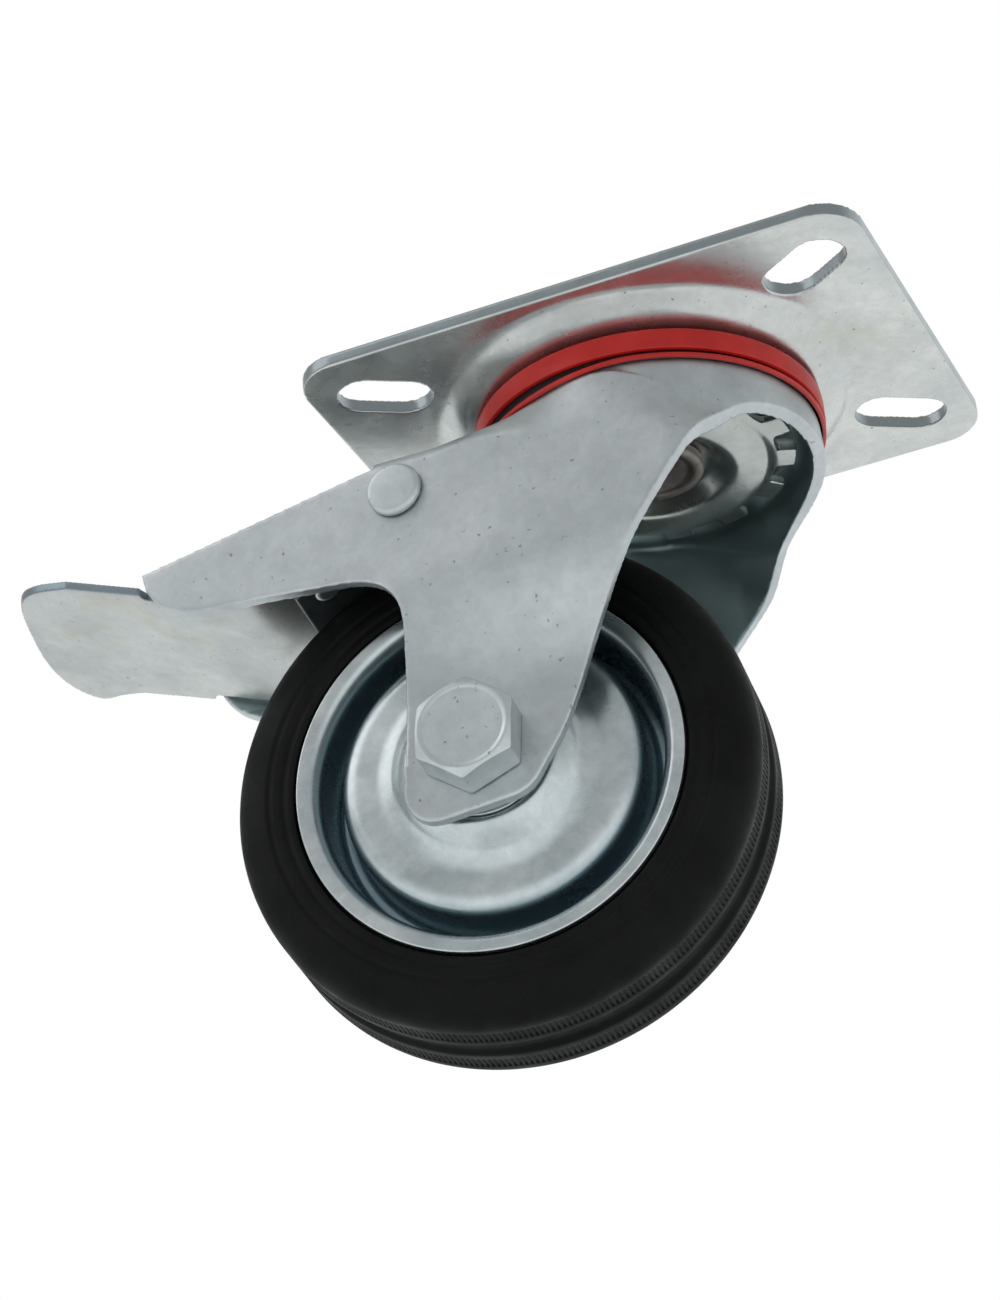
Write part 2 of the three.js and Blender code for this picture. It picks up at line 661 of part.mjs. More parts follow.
// A wound wire about the brake pin that lifts the pedal, with a straight leg at each end.
function returnSpring() {
  const [coil, turns, start, pitch] = [3.6, 3, 17.9, 1.35];
  const points = [new THREE.Vector3(-10.5, start, -4.7), new THREE.Vector3(-4, start, -3.8)];
  const steps = turns * 14;
  for (let i = 0; i <= steps; i++) {
    const angle = -Math.PI / 2 + (i / steps) * turns * 2 * Math.PI;
    points.push(new THREE.Vector3(coil * Math.cos(angle), start + (i / 14) * pitch, coil * Math.sin(angle)));
  }
  const end = start + turns * pitch;
  points.push(new THREE.Vector3(5, end, -2.2), new THREE.Vector3(12, end, 4));
  const wire = new THREE.Shape();
  wire.absarc(0, 0, 0.6, 0, 2 * Math.PI);
  const path = new THREE.CatmullRomCurve3(points);
  const wound = new THREE.ExtrudeGeometry(wire, { extrudePath: path, steps: 90, curveSegments: 2 });
  return wound.translate(brakePivot.x, 0, brakePivot.y);
}
piece(swivel, "return_spring", returnSpring(), brightSteel);

export default castor;
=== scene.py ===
"""Looks for the braked swivel castor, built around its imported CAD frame.

Shapes are drawn in millimetres and turned into metres as each mesh is made. X points to the front, Z up,
and the plate's upper face is at height 0. Pieces that swivel are drawn square to the axes and then turned
to where the fork points at rest.
"""

import math

import bmesh
import bpy
import numpy as np
from mathutils import Matrix, Vector


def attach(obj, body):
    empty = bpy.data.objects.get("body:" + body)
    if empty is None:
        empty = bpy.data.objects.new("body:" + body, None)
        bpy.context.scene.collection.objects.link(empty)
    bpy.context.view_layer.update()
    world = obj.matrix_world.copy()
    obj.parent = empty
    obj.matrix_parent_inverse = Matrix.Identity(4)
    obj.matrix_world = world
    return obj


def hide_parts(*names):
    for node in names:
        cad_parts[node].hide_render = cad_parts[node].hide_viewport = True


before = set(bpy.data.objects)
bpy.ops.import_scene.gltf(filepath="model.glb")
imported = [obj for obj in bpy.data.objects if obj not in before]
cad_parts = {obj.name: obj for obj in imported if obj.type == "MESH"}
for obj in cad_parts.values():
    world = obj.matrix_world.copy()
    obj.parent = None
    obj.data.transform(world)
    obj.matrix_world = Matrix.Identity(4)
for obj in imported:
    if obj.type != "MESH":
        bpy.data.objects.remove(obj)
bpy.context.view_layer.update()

MM = 0.001
REST_TURN = math.radians(7.5)

# The axle's and the brake pin's X and Z, and how far the pedal turns when it is pressed.
AXLE = (-34.4, -82.1)
BRAKE_PIN = (-44.2, -28.2)
STROKE = math.radians(8.5)

# The bolt, and the sleeve and hub tube round it. Half is half a length along the axle.
BOLT = dict(radius=5.9, flats=18.0, seat=24.7, head=7.5, nut=10, turn=math.radians(5.5))
SLEEVE = dict(bore=6.2, outer=7.3, half=21.5)
HUB = dict(bore=11, outer=12.4, half=20.2)

# The two ball rings and the roller ring: ball or roller radius, and the circle that they run on.
UPPER_BALLS = dict(radius=3.175, circle=24, height=-8.5)
LOWER_BALLS = dict(radius=2.35, circle=18.5, height=-15.5)
ROLLERS = dict(radius=1.6, circle=9.15, half=15)
RING_COUNT = 8


# ---------------------------------------------------------------- small maths


def clamp(value):
    return np.minimum(np.maximum(value, 0.0), 1.0)


def lerp(a, b, t):
    return a + (b - a) * t


def smoothstep(value, low, high):
    t = clamp((value - low) / (high - low))
    return t * t * (3 - 2 * t)


def arc(centre, radius, start, end, steps):
    """Points on an arc, angles in degrees."""
    angles = np.radians(np.linspace(start, end, steps))
    return [(centre[0] + radius * math.cos(a), centre[1] + radius * math.sin(a)) for a in angles]


def bezier(points, steps):
    """Points on a quadratic or cubic Bezier curve, both ends included."""
    rows = []
    for t in np.linspace(0, 1, steps):
        layer = [np.array(p, float) for p in points]
        while len(layer) > 1:
            layer = [lerp(a, b, t) for a, b in zip(layer, layer[1:])]
        rows.append(tuple(layer[0]))
    return rows


def spline(points, steps):
    """A smooth curve through the points (Catmull-Rom), `steps` pieces per span."""
    known = [np.array(p, float) for p in points]
    known = [2 * known[0] - known[1]] + known + [2 * known[-1] - known[-2]]
    rows = []
    for a, b, c, d in zip(known, known[1:], known[2:], known[3:]):
        for t in np.linspace(0, 1, steps, endpoint=False):
            square = (2 * a - 5 * b + 4 * c - d) * t**2
            cube = (3 * b - a - 3 * c + d) * t**3
            rows.append(tuple(0.5 * (2 * b + (c - a) * t + square + cube)))
    rows.append(tuple(known[-2]))
    return rows


def rounded(points, radius, steps=5, closed=True):
    """The outline with each corner cut by a small curve. A point's third number is its own radius."""
    count = len(points)
    rows = []
    for i, point in enumerate(points):
        here = np.array(point[:2], float)
        if not closed and i in (0, count - 1):
            rows.append(tuple(here))
            continue
        before = np.array(points[i - 1][:2], float)
        after = np.array(points[(i + 1) % count][:2], float)
        reach = point[2] if len(point) > 2 else radius
        back, on = before - here, after - here
        cut_back = min(reach, 0.48 * np.linalg.norm(back))
        cut_on = min(reach, 0.48 * np.linalg.norm(on))
        start = here + back / np.linalg.norm(back) * cut_back
        end = here + on / np.linalg.norm(on) * cut_on
        rows += bezier([start, here, end], steps)
    return rows


def axle_spot(radius, angle):
    """X and Z of a point about the axle."""
    return AXLE[0] + radius * math.cos(angle), AXLE[1] + radius * math.sin(angle)


def even_angles(count):
    return [2 * math.pi * k / count for k in range(count)]


# ---------------------------------------------------------------- meshes


def moved(x, y, z):
    """A translation in millimetres."""
    return Matrix.Translation((x * MM, y * MM, z * MM))


def link(name, mesh):
    obj = bpy.data.objects.new(name, mesh)
    bpy.context.scene.collection.objects.link(obj)
    return obj


def mesh_object(name, points, faces):
    """A mesh object from points in millimetres."""
    mesh = bpy.data.meshes.new(name)
    mesh.from_pydata([tuple(c * MM for c in p) for p in points], [], faces)
    mesh.validate()
    made = bmesh.new()
    made.from_mesh(mesh)
    bmesh.ops.recalc_face_normals(made, faces=made.faces)
    made.to_mesh(mesh)
    made.free()
    return link(name, mesh)


def ring_faces(rings, across, closed):
    """Faces between rings of points. Closed also joins the last ring to the first."""
    faces = []
    for i in range(rings if closed else rings - 1):
        here, after = i * across, (i + 1) % rings * across
        for j in range(across):
            n = (j + 1) % across
            faces.append((here + j, here + n, after + n, after + j))
    return faces


def closed_grid(name, rows):
    """A ring-by-ring surface: every row is a closed ring of points, and the last row joins the first."""
    points = [p for row in rows for p in row]
    return mesh_object(name, points, ring_faces(len(rows), len(rows[0]), True))


def turned(name, profile, segments=192):
    """A closed profile of (radius, height) points turned about Z. Points on the axis are joined into one."""
    points, index = [], {}
    for i, (r, z) in enumerate(profile):
        if abs(r) < 1e-6:
            index[i] = [len(points)] * segments
            points.append((0, 0, z))
            continue
        index[i] = list(range(len(points), len(points) + segments))
        points += [(r * math.cos(angle), r * math.sin(angle), z) for angle in even_angles(segments)]
    faces = []
    for i in range(len(profile)):
        near, far = index[i], index[(i + 1) % len(profile)]
        for k in range(segments):
            n = (k + 1) % segments
            corners = []
            for vertex in (near[k], near[n], far[n], far[k]):
                if vertex not in corners:
                    corners.append(vertex)
            if len(corners) > 2:
                faces.append(corners)
    return mesh_object(name, points, faces)


def prism(name, outline, low, high):
    """An outline in X and Y, thickened along Z."""
    count = len(outline)
    points = [(x, y, low) for x, y in outline] + [(x, y, high) for x, y in outline]
    faces = [(i, (i + 1) % count, count + (i + 1) % count, count + i) for i in range(count)]
    faces += [tuple(range(count))[::-1], tuple(range(count, 2 * count))]
    return mesh_object(name, points, faces)


def side_prism(name, outline, low, high):
    """An outline in X and Z, thickened along Y."""
    made = prism(name, outline, -high, -low)
    made.data.transform(Matrix.Rotation(math.pi / 2, 4, "X"))
    return made


def rod(name, radius, low, high, x, z, segments=64):
    """A round bar along Y, drawn as a turned profile with small chamfers."""
    edge = min(0.3, radius * 0.2)
    profile = [(0, low), (radius - edge, low), (radius, low + edge), (radius, high - edge),
               (radius - edge, high), (0, high)]
    made = turned(name, profile, segments)
    made.data.transform(moved(x, 0, z) @ Matrix.Rotation(-math.pi / 2, 4, "X"))
    return made


def to_axle(obj):
    """Moves a piece turned about Z onto the axle line, its heights along Y."""
    obj.data.transform(moved(AXLE[0], 0, AXLE[1]) @ Matrix.Rotation(-math.pi / 2, 4, "X"))
    return obj


def tube(name, bore, outer, half, edge, segments):
    """A plain tube on the axle."""
    ring = rounded([(bore, -half), (outer, -half), (outer, half), (bore, half)], edge, 4)
    return to_axle(turned(name, ring, segments))


def apply_modifiers(obj):
    graph = bpy.context.evaluated_depsgraph_get()
    made = bpy.data.meshes.new_from_object(obj.evaluated_get(graph))
    obj.modifiers.clear()
    obj.data = made
    return obj


def combine(obj, other, operation):
    """Boolean with another object, which is used up."""
    change = obj.modifiers.new("combine", "BOOLEAN")
    change.operation = operation
    change.object = other
    change.solver = "EXACT"
    apply_modifiers(obj)
    bpy.data.objects.remove(other)
    return obj


def ball_groove(obj, radius):
    """Cuts the round groove that the upper balls run in."""
    across, height = UPPER_BALLS["circle"], UPPER_BALLS["height"]
    angles = np.linspace(0, 2 * math.pi, 40, endpoint=False)
    ring = [(across + radius * math.cos(t), height + radius * math.sin(t)) for t in angles]
    return combine(obj, turned("groove", ring), "DIFFERENCE")


def pressed(obj, grain, passes):
    """Turns a piece into an even fine mesh and eases its edges, as punched and bent sheet has."""
    remesh = obj.modifiers.new("even", "REMESH")
    remesh.mode = "VOXEL"
    remesh.voxel_size = grain * MM
    ease = obj.modifiers.new("ease", "SMOOTH")
    ease.factor = 0.5
    ease.iterations = passes
    return apply_modifiers(obj)


def finish_piece(obj, body, node, look, turn=True):
    """Turns the piece to its place, shades it smooth, and hangs it on its CAD body in place of a node."""
    if turn:
        obj.data.transform(Matrix.Rotation(REST_TURN, 4, "Z"))
    for polygon in obj.data.polygons:
        polygon.use_smooth = True
    obj.data.materials.clear()
    obj.data.materials.append(look)
    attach(obj, body)
    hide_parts(node)


# ---------------------------------------------------------------- looks


class Look:
    """A node material, built one node at a time."""

    def __init__(self, name):
        self.material = bpy.data.materials.new(name)
        self.material.use_nodes = True
        self.tree = self.material.node_tree
        self.tree.nodes.clear()
        self.shader = self.add("ShaderNodeBsdfPrincipled")
        output = self.add("ShaderNodeOutputMaterial")
        self.tree.links.new(self.shader.outputs[0], output.inputs["Surface"])
        self.place = self.add("ShaderNodeTexCoord").outputs["Object"]

    def add(self, kind, inputs=None, **settings):
        node = self.tree.nodes.new(kind)
        for key, value in settings.items():
            setattr(node, key, value)
        for key, value in (inputs or {}).items():
            self.put(node.inputs[key], value)
        return node

    def separate(self, vector):
        return self.add("ShaderNodeSeparateXYZ", {0: vector}).outputs

    def put(self, socket, value):
        if isinstance(value, bpy.types.NodeSocket):
            self.tree.links.new(value, socket)
        else:
            socket.default_value = value

    def noise(self, scale, detail=4.0, roughness=0.55, where=None, distortion=0.0):
        inputs = {"Vector": where or self.place, "Scale": scale, "Detail": detail, "Roughness": roughness,
                  "Distortion": distortion}
        return self.add("ShaderNodeTexNoise", inputs).outputs["Fac"]

    def ramp(self, value, low, high, out_low=0.0, out_high=1.0):
        inputs = {"Value": value, "From Min": low, "From Max": high, "To Min": out_low, "To Max": out_high}
        return self.add("ShaderNodeMapRange", inputs).outputs[0]

    def mix(self, factor, a, b):
        node = self.add("ShaderNodeMix", data_type="RGBA")
        self.put(node.inputs[0], factor)
        self.put(node.inputs[6], a if isinstance(a, bpy.types.NodeSocket) else (*a, 1))
        self.put(node.inputs[7], b if isinstance(b, bpy.types.NodeSocket) else (*b, 1))
        return node.outputs[2]

    def maths(self, operation, a, b=0.0):
        node = self.add("ShaderNodeMath", operation=operation)
        self.put(node.inputs[0], a)
        self.put(node.inputs[1], b)
        return node.outputs[0]

    def bump(self, height, strength, distance):
        inputs = {"Height": height, "Strength": strength, "Distance": distance}
        return self.add("ShaderNodeBump", inputs).outputs[0]

    def set(self, **inputs):
        for key, value in inputs.items():
            self.put(self.shader.inputs[key.replace("_", " ")], value)

    def facing(self, low, high, stretch):
        """1 where a face looks away from the swivel axis, 0 where it looks back at it."""
        turn = {"Rotation": (0, 0, -REST_TURN)}
        flat = {"Vector": self.place, "Scale": (stretch, 1, 0), **turn}
        flat = self.add("ShaderNodeMapping", flat).outputs[0]
        outward = self.add("ShaderNodeVectorMath", {0: flat}, operation="NORMALIZE").outputs[0]
        normal = self.add("ShaderNodeTexCoord").outputs["Normal"]
        normal = self.add("ShaderNodeMapping", {"Vector": normal, **turn}, vector_type="NORMAL").outputs[0]
        dot = self.add("ShaderNodeVectorMath", {0: normal, 1: outward}, operation="DOT_PRODUCT")
        return self.ramp(dot.outputs["Value"], low, high)


def zinc(name, dark, light, rough, stain=0.0, inside=False, edge=None):
    """Zinc plating: clouds, flecks, small dark marks and, where asked, yellow patches, painted shade on the
    faces that look in at the swivel axis, and painted shade on upright faces such as cut edges."""
    look = Look(name)
    clouds = look.noise(55, 5, 0.6)
    flecks = look.noise(420, 3, 0.6, distortion=0.6)
    grain = look.noise(2600, 2, 0.5)
    colour = look.mix(look.ramp(clouds, 0.32, 0.68), dark, light)
    colour = look.mix(look.ramp(flecks, 0.35, 0.75, 0.0, 0.28), colour, tuple(c * 0.72 for c in dark))
    if stain:
        patches = look.ramp(look.noise(34, 4, 0.7, distortion=0.8), 0.56, 0.74, 0.0, stain)
        colour = look.mix(patches, colour, (0.50, 0.47, 0.30))
    marks = look.ramp(look.noise(760, 2, 0.5), 0.70, 0.76, 0.0, 0.65)
    colour = look.mix(marks, colour, (0.16, 0.16, 0.15))
    # Painted shade: faces that look back in at the swivel axis, the fork's inner faces, take a darker colour.
    if inside:
        colour = look.mix(look.facing(-0.55, -0.2, 0.3), (0.29, 0.375, 0.385), colour)
    # Painted shade: upright faces, such as cut edges and slot walls, take the darker edge colour.
    if edge:
        upright = look.separate(look.add("ShaderNodeTexCoord").outputs["Normal"])["Z"]
        colour = look.mix(look.ramp(look.maths("ABSOLUTE", upright), 0.3, 0.6), edge, colour)
    shine = look.ramp(look.noise(120, 4, 0.6), 0.3, 0.7, rough - 0.06, rough + 0.1)
    height = look.maths("ADD", look.maths("MULTIPLY", flecks, 0.7), look.maths("MULTIPLY", grain, 0.3))
    look.set(Base_Color=colour, Metallic=0.85, Roughness=shine, Normal=look.bump(height, 0.22, 0.00012))
    return look.material


def wheel_zinc(name, dark, light, rough):
    """Plating on the pressed wheel disc: cloudy, with faint spun rings, and painted shade making it dark down
    in its channel.
    """
    look = Look(name)
    turn = look.add("ShaderNodeMapping", {"Vector": look.place, "Rotation": (0, 0, -REST_TURN)}).outputs[0]
    parts = look.separate(turn)
    across = look.maths("SUBTRACT", parts["X"], AXLE[0] * MM)
    up = look.maths("SUBTRACT", parts["Z"], AXLE[1] * MM)
    squares = look.maths("ADD", look.maths("MULTIPLY", across, across), look.maths("MULTIPLY", up, up))
    radius = look.maths("SQRT", squares)
    spun = {"X": look.maths("MULTIPLY", radius, 700.0), "Y": look.maths("ARCTAN2", up, across)}
    rings = look.noise(1.0, 3, 0.6, where=look.add("ShaderNodeCombineXYZ", spun).outputs[0])
    clouds = look.noise(70, 5, 0.65)
    flecks = look.noise(380, 3, 0.6, distortion=0.6)
    colour = look.mix(look.ramp(clouds, 0.3, 0.7), dark, light)
    colour = look.mix(look.ramp(flecks, 0.35, 0.75, 0.0, 0.3), colour, tuple(c * 0.7 for c in dark))
    # Painted shade: between the disc and the flange, down in the channel, the colour is darkened by radius.
    channel_shade = look.maths("MULTIPLY", look.ramp(radius, 0.0272, 0.0288), look.ramp(radius, 0.0345, 0.0332))
    colour = look.mix(channel_shade, colour, (0.30, 0.39, 0.43))
    shine = look.ramp(clouds, 0.3, 0.7, rough - 0.07, rough + 0.08)
    height = look.maths("ADD", look.maths("MULTIPLY", rings, 0.3), look.maths("MULTIPLY", flecks, 0.7))
    look.set(Base_Color=colour, Metallic=0.9, Roughness=shine, Normal=look.bump(height, 0.15, 0.0001))
    return look.material


def red_plastic():
    """Red moulded plastic, with painted shade making it almost black down in the seal's slit."""
    look = Look("red_plastic")
    clouds = look.noise(90, 3, 0.5)
    grain = look.noise(1800, 2, 0.5)
    colour = look.mix(look.ramp(clouds, 0.35, 0.65), (0.60, 0.014, 0.011), (0.74, 0.024, 0.017))
    # Painted shade: inside a set radius and below a set height, down in the seal's slit, the red turns almost
    # black.
    flat = look.add("ShaderNodeVectorMath", {0: look.place, 1: (1, 1, 0)}, operation="MULTIPLY").outputs[0]
    radius = look.add("ShaderNodeVectorMath", {0: flat}, operation="LENGTH").outputs["Value"]
    low = look.ramp(look.separate(look.place)["Z"], -0.0095, -0.0115)
    slit = look.maths("MULTIPLY", look.ramp(radius, 0.0334, 0.03305), low)
    colour = look.mix(slit, colour, (0.012, 0.003, 0.003))
    shine = look.ramp(look.noise(300, 3, 0.5), 0.3, 0.7, 0.28, 0.42)
    look.set(Base_Color=colour, Roughness=shine, Specular_IOR_Level=0.45)
    look.set(Normal=look.bump(grain, 0.1, 0.0001))
    return look.material


def rubber():
    """Black rubber with a few paler scuffs."""
    look = Look("rubber_tyre")
    clouds = look.noise(60, 5, 0.6)
    grain = look.noise(2200, 3, 0.6)
    colour = look.mix(look.ramp(clouds, 0.35, 0.7), (0.003, 0.003, 0.003), (0.0075, 0.0075, 0.0075))
    scuffs = look.ramp(look.noise(420, 4, 0.7, distortion=1.0), 0.62, 0.8, 0.0, 0.4)
    colour = look.mix(scuffs, colour, (0.035, 0.035, 0.034))
    shine = look.ramp(look.noise(110, 4, 0.6), 0.3, 0.7, 0.45, 0.66)
    look.set(Base_Color=colour, Roughness=shine, Specular_IOR_Level=0.15)
    look.set(Normal=look.bump(grain, 0.35, 0.00012))
    return look.material


def plain_metal(name, dark, light, rough, mirror):
    look = Look(name)
    clouds = look.noise(140, 4, 0.6)
    grain = look.noise(1680, 3, 0.6)
    colour = look.mix(look.ramp(clouds, 0.35, 0.65), dark, light)
    shine = look.ramp(grain, 0.3, 0.7, rough - 0.06, rough + 0.08)
    look.set(Base_Color=colour, Metallic=mirror, Roughness=shine, Normal=look.bump(grain, 0.15, 0.0001))
    return look.material


# The edge colours of the plate and the pedal are painted shade for their upright faces.
plate_zinc = zinc("zinc_plate", (0.58, 0.60, 0.59), (0.76, 0.775, 0.74), 0.23, stain=0.35,
                  edge=(0.33, 0.37, 0.38))
# inside=True paints shade on the fork's inner faces.
fork_zinc = zinc("zinc_fork", (0.54, 0.575, 0.585), (0.68, 0.715, 0.725), 0.40, inside=True)
pedal_zinc = zinc("zinc_pedal", (0.49, 0.515, 0.505), (0.64, 0.66, 0.635), 0.33, stain=0.4,
                  edge=(0.27, 0.33, 0.36))
bolt_zinc = zinc("zinc_bolt", (0.58, 0.625, 0.63), (0.74, 0.78, 0.785), 0.38)
race_zinc = zinc("zinc_race", (0.42, 0.45, 0.43), (0.60, 0.62, 0.59), 0.20, stain=0.40)
rim_zinc = wheel_zinc("bright_zinc", (0.52, 0.58, 0.59), (0.80, 0.84, 0.84), 0.28)
seal_red = red_plastic()
tyre_black = rubber()
forged = plain_metal("forged_steel", (0.17, 0.145, 0.13), (0.34, 0.30, 0.27), 0.42, 0.75)
bearing = plain_metal("bearing_steel", (0.62, 0.63, 0.65), (0.74, 0.75, 0.77), 0.16, 1.0)
dark_steel = plain_metal("dark_steel", (0.10, 0.12, 0.125), (0.20, 0.22, 0.23), 0.42, 0.8)

# ---------------------------------------------------------------- top plate

PLATE = dict(length=113, width=87, thickness=2.75, corner=9)
SLOT = dict(x=42.9, y=28.4, length=18.3, width=10.5, turn=math.radians(33))


def rounded_rectangle(length, width, corner):
    a, b = length / 2 - corner, width / 2 - corner
    corners = [((a, -b), -90), ((a, b), 0), ((-a, b), 90), ((-a, -b), 180)]
    return [p for centre, start in corners for p in arc(centre, corner, start, start + 90, 20)]


def slot_outline(x, y, turn):
    reach = (SLOT["length"] - SLOT["width"]) / 2
    along = (math.cos(turn) * reach, math.sin(turn) * reach)
    degrees = math.degrees(turn)
    first = arc((x + along[0], y + along[1]), SLOT["width"] / 2, degrees - 90, degrees + 90, 24)
    return first + arc((x - along[0], y - along[1]), SLOT["width"] / 2, degrees + 90, degrees + 270, 24)


def make_plate():
    """A flat sheet with its boss pressed down, and four slots cut through it."""
    flat = prism("top_plate_look", rounded_rectangle(PLATE["length"], PLATE["width"], PLATE["corner"]),
                 -PLATE["thickness"], 0)
    combine(flat, turned("well", [(0, 5), (0, -9), (41.0, -9), (41.0, 5)]), "DIFFERENCE")
    pressing = bezier([(41.8, -0.02), (40.3, -0.1), (39.2, -0.95)], 10)
    pressing += bezier([(39.2, -0.95), (36.6, -3.2), (34.6, -3.9), (31, -3.9)], 20)[1:]
    top = [(42.6, 0)] + pressing + [(7.3, -3.9)]
    under = [(x, z - PLATE["thickness"]) for x, z in top][::-1]
    combine(flat, turned("boss", top + under), "UNION")
    for sx in (1, -1):
        for sy in (1, -1):
            cut = prism("slot", slot_outline(sx * SLOT["x"], sy * SLOT["y"], sx * sy * SLOT["turn"]), -9, 5)
            combine(flat, cut, "DIFFERENCE")
    ball_groove(flat, 3.35)
    pressed(flat, 0.34, 2)
    finish_piece(flat, "plate", "top_plate", plate_zinc, turn=False)


def make_kingpin():
    """The pin's head fills the boss's hole, and its lower end is riveted over the race."""
    profile = rounded([(0, 0), (12, 0), (12, -3.6), (7, -3.6), (7, -16.7), (9.7, -16.7), (9.7, -19, 1.2),
                       (7.6, -19, 0.6), (6.6, -18.3, 0.6), (0, -18.0)], 0.5, 5, closed=False)
    pin = turned("kingpin_look", profile, 128)
    finish_piece(pin, "plate", "kingpin", forged, turn=False)


make_plate()
make_kingpin()

# ---------------------------------------------------------------- lower race with its lock teeth

TEETH = dict(count=14, root=24.2, tip=27.7, width=5.5, phase=math.radians(23))


def make_race():
    """The pressed lower race, its edge notched into teeth."""
    upper = rounded([(7.3, -14.6, 0), (11.5, -14.6, 1), (15.6, -18, 1.2), (21.4, -18, 1.0),
                     (22.3, -15.4, 0.8), (TEETH["tip"], -15.4, 0)], 0, 6, closed=False)
    lower = rounded([(TEETH["tip"], -17.2, 0), (23.6, -17.2, 1.2), (22.0, -19.3, 1.5), (20.6, -19.8, 1.5),
                     (15.0, -19.8, 1.4), (10.9, -16.4, 1.0), (7.3, -16.4, 0)], 0, 6, closed=False)
    race = turned("lock_race_look", upper + lower, 224)
    pitch = 2 * math.pi / TEETH["count"]
    half = TEETH["width"] / 2 / TEETH["tip"]
    root, beyond = TEETH["root"], 30
    corners = [(root, half + 0.02), (beyond, half - 0.01), (beyond, pitch - half + 0.01),
               (root, pitch - half - 0.02), (root - 0.2, pitch / 2)]
    for i in range(TEETH["count"]):
        turn = TEETH["phase"] + i * pitch
        outline = [(r * math.cos(a + turn), r * math.sin(a + turn)) for r, a in corners]
        combine(race, prism("gap", outline, -19, -13), "DIFFERENCE")
    pressed(race, 0.26, 2)
    finish_piece(race, "plate", "lock_race", race_zinc, turn=False)


make_race()

# ---------------------------------------------------------------- fork

SHEET = 2.6
CROWN = dict(top=-10.4, bend=4, radius=32.7, skirt=33.2, bore=9.5)
CHEEK = dict(front=34.3, front_x=9, taper=0.106, foot=24.4)
ROOF = dict(z=-19.5, bend=3.5, end=-48.5)


def cheek_half(x, z):
    """Half the fork's outer width across its flat sides, which lean in towards the rear and at the foot."""
    upper = CHEEK["front"] - CHEEK["taper"] * np.maximum(CHEEK["front_x"] - x, 0)
    return lerp(upper, CHEEK["foot"], smoothstep(x, -62, -46) * smoothstep(-z, 46, 74))


def blend_start(x):
    """The height where the side starts to bend out of the roof or the crown."""
    return lerp(ROOF["z"], -14.6, smoothstep(x, -38, -10)) - 9.4 * smoothstep(x, -4, 22)


def blend_height(x):
    """How far down the bend reaches before the side is flat."""
    return lerp(ROOF["bend"], 12, smoothstep(x, -33, -4))


def fork_half(x, z, inset):
    """Half the fork's width. In front it goes from the round crown into the flat side."""
    around = math.sqrt(max(0.0, (CROWN["skirt"] - inset) ** 2 - x * x))
    face = cheek_half(x, z) - inset
    t = clamp((blend_start(x) - (z + inset)) / blend_height(x))
    bent = math.sqrt(1 - (1 - t) ** 2)
    crowned = smoothstep(x, -33, -4)
    top = lerp(face - ROOF["bend"], around, crowned)
    return lerp(top, face, lerp(bent, smoothstep(t, 0, 1), crowned))


def fork_block(name, inset):
    """The solid that the fork's sheet wraps. An inset of one sheet gives its hollow."""
    levels = 1 - np.cos(np.linspace(0, 1, 22) * math.pi / 2)
    front = CROWN["skirt"] - inset
    stations = list(np.arange(-101, -50, 3.0)) + list(np.arange(-49.5, -33, 1.5))
    stations += list(-front * 0.86 * np.cos(np.linspace(0, math.pi / 1.14, 60)))
    stations += [front * k for k in (0.9, 0.94, 0.97, 0.985, 0.995)]
    stations = sorted(stations)
    rows = []
    for x in stations:
        start = blend_start(x) - inset
        heights = [start - k * blend_height(x) for k in levels] + list(np.linspace(-42, -76, 24)) + [-101]
        side = [(fork_half(x, z, inset), z) for z in heights]
        rows.append([(x, -y, z) for y, z in side[::-1]] + [(x, y, z) for y, z in side])
    across = len(rows[0])
    points = [p for row in rows for p in row]
    faces = ring_faces(len(rows), across, False)
    for row, x in ((0, stations[0]), (len(rows) - 1, stations[-1])):
        points.append((x, 0, -60))
        for j in range(across):
            faces.append((row * across + j, row * across + (j + 1) % across, len(points) - 1))
    return mesh_object(name, points, faces)


def crown_solid(name, inset):
    """The round crown under the seal: a bent shoulder, then a skirt that flares a little."""
    top, bend, floor = CROWN["top"], CROWN["bend"], -24.5
    start = top - bend
    wall = []
    for z in list(np.linspace(top, start, 14)) + [-22.4, floor]:
        if z > start:
            up = clamp((z - start) / bend)
            r = CROWN["radius"] - bend + bend * math.sqrt(1 - up * up)
        else:
            r = lerp(CROWN["radius"], CROWN["skirt"], clamp((start - z) / 8))
        wall.append((r - inset, z - inset))
    return turned(name, [(0, top - inset)] + wall + [(0, floor - inset)])


def fork_outline():
    """The fork from the side: crown, leg, foot and brake arm."""
    front = spline([(34, -20.1), (26.5, -21.5), (20.6, -24.6), (15, -31.2), (6, -42.6), (-2, -53.5),
                    (-10.4, -67.2), (-16.8, -81.2), (-22, -89.4)], 8)
    foot = bezier([(-22, -89.4), (-24.2, -93.4), (-28, -94.1)], 10)[1:]
    heel = bezier([(-41, -96.1), (-45.4, -96.8), (-48.2, -93.6), (-48.1, -89.6)], 14)
    fillet = bezier([(-45.2, -57), (-44.6, -49), (-48.5, -45.6), (-56, -44.6)], 18)
    tip = [(-71, -43.1)] + bezier([(-84, -42.3), (-90, -41.8), (-94.4, -38.6), (-96.3, -34.2)], 14)
    return [(34, -9)] + front + foot + heel + fillet + tip + [(-97, -30.8), (-48.6, -21.7), (-47, -9)]


